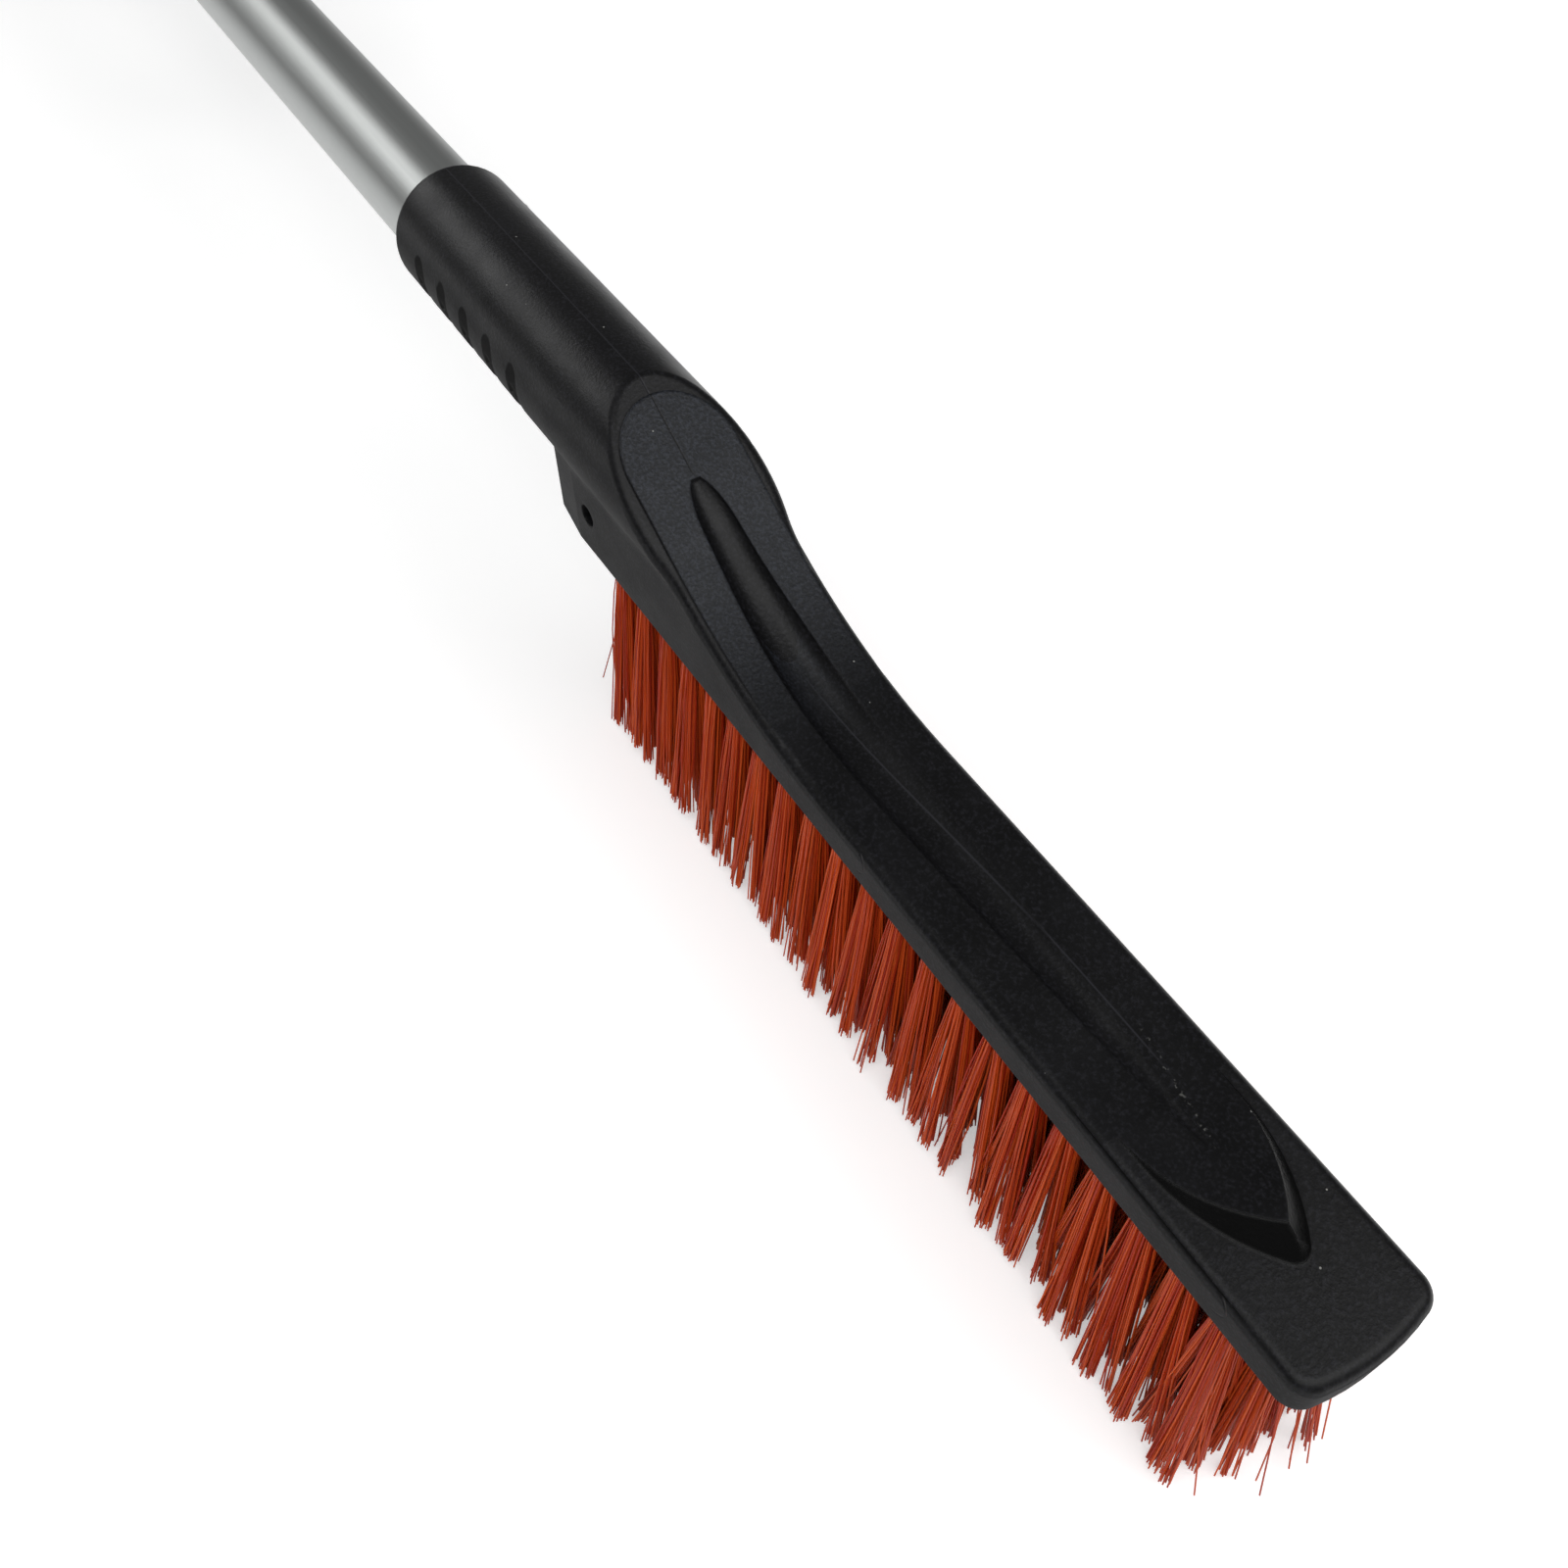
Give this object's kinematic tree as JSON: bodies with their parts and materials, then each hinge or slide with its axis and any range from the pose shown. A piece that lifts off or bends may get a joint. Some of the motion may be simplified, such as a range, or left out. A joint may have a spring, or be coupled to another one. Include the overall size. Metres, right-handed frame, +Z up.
{
  "type": "snow brush scraper",
  "caption": "Long hand tool for clearing a car of snow: bristle brush in a moulded black head at one end, flat ice scraper at the other, on a telescopic aluminium handle with a twist lock.",
  "frame": {"origin": "bottom centre of the whole tool's bounding box, level with the lowest bristle tips", "axes": "+X along the tubes from the scraper to the brush's tip, +Z up, away from the bristles"},
  "size_m": [0.8992, 0.1, 0.0858],
  "materials": {
    "black_plastic": "fine-grained moulded polypropylene, satin",
    "bristle": "orange-red extruded filament, slightly glossy",
    "steel": "zinc-plated steel",
    "tube_aluminium": "satin anodised",
    "foam": "closed-cell foam, matte",
    "blade_plastic": "smooth moulded plastic"
  },
  "bodies": {
    "handle": {"outer_tube": "tube_aluminium", "lock_bushing": "black_plastic", "foam_grip": "foam", "scraper_head": "black_plastic", "scraper_blade": "blade_plastic", "blade_rivets": "steel", "scraper_screw": "steel"},
    "brush": {"inner_tube": "tube_aluminium", "guide_plug": "black_plastic", "brush_head": "black_plastic", "head_screw": "steel", "bristle_row_1": "bristle", "bristle_row_2": "bristle", "bristle_row_3": "bristle", "bristle_row_4": "bristle", "anchor_row_1": "steel", "anchor_row_2": "steel", "anchor_row_3": "steel", "anchor_row_4": "steel"},
    "lock_ring": {"lock_collar": "black_plastic"}
  },
  "joints": [
    {"name": "tube_slide", "type": "slide", "parent": "handle", "child": "brush", "axis": [1, 0, 0], "range_m": [0, 0.22]},
    {"name": "lock_turn", "type": "hinge", "parent": "handle", "child": "lock_ring", "pos_m": [-0.01912, 0, 0.06821], "axis": [1, 0, 0], "range_deg": [0, 90]}
  ]
}
